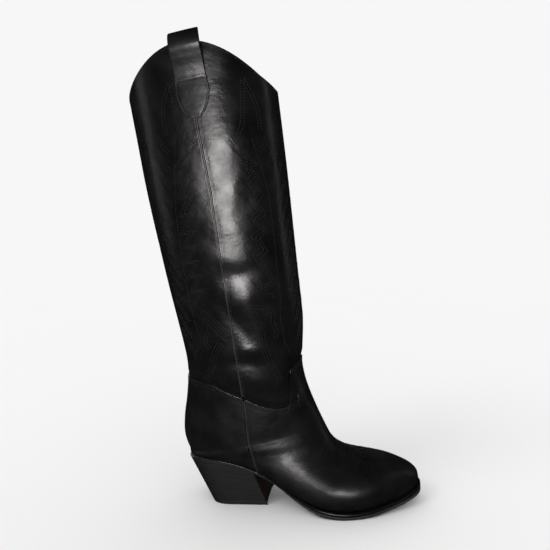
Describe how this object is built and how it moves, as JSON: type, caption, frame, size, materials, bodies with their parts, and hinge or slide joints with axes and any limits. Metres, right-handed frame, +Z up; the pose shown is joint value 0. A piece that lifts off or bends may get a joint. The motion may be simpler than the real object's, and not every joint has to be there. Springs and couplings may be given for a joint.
{
  "type": "cowboy boot",
  "caption": "Tall western boot for the right foot with a scalloped rim, two pull straps, a snip toe and a high slanted stacked heel.",
  "frame": {"origin": "middle of the heel's ground face", "axes": "+X to the toe, +Y to the inner (medial) side, +Z up along the shaft"},
  "size_m": [0.2807, 0.1162, 0.4892],
  "materials": {
    "black_leather": "polished smooth black",
    "lining_leather": "matte",
    "doubler_cloth": "woven",
    "stiffener_sheet": "matte thermoplastic sheet",
    "leather_board": "pressed leather board",
    "steel": "plain",
    "cork": "granulated cork",
    "sole_leather": "burnished edge",
    "sole_rubber": "matte",
    "stacked_heel": "dyed and waxed edge"
  },
  "bodies": {
    "root": {"vamp": "black_leather", "heel_counter": "black_leather", "shaft_front": "black_leather", "shaft_back": "black_leather", "side_piping_lateral": "black_leather", "side_piping_medial": "black_leather", "pull_strap_lateral": "black_leather", "pull_strap_medial": "black_leather", "shaft_lining_front": "lining_leather", "shaft_lining_back": "lining_leather", "vamp_lining": "lining_leather", "heel_lining": "lining_leather", "sock_liner": "lining_leather", "vamp_doubler": "doubler_cloth", "toe_puff": "stiffener_sheet", "heel_stiffener": "stiffener_sheet", "insole_board": "leather_board", "shank": "steel", "heel_screw": "steel", "heel_nail_1": "steel", "heel_nail_2": "steel", "heel_nail_3": "steel", "heel_nail_4": "steel", "sole_filler": "cork", "welt_plate": "sole_leather", "outsole": "sole_rubber", "top_lift": "sole_rubber", "heel_lift_1": "stacked_heel", "heel_lift_2": "stacked_heel", "heel_lift_3": "stacked_heel", "heel_lift_4": "stacked_heel", "heel_lift_5": "stacked_heel", "heel_lift_6": "stacked_heel", "heel_lift_7": "stacked_heel", "heel_lift_8": "stacked_heel", "heel_lift_9": "stacked_heel"}
  },
  "joints": []
}
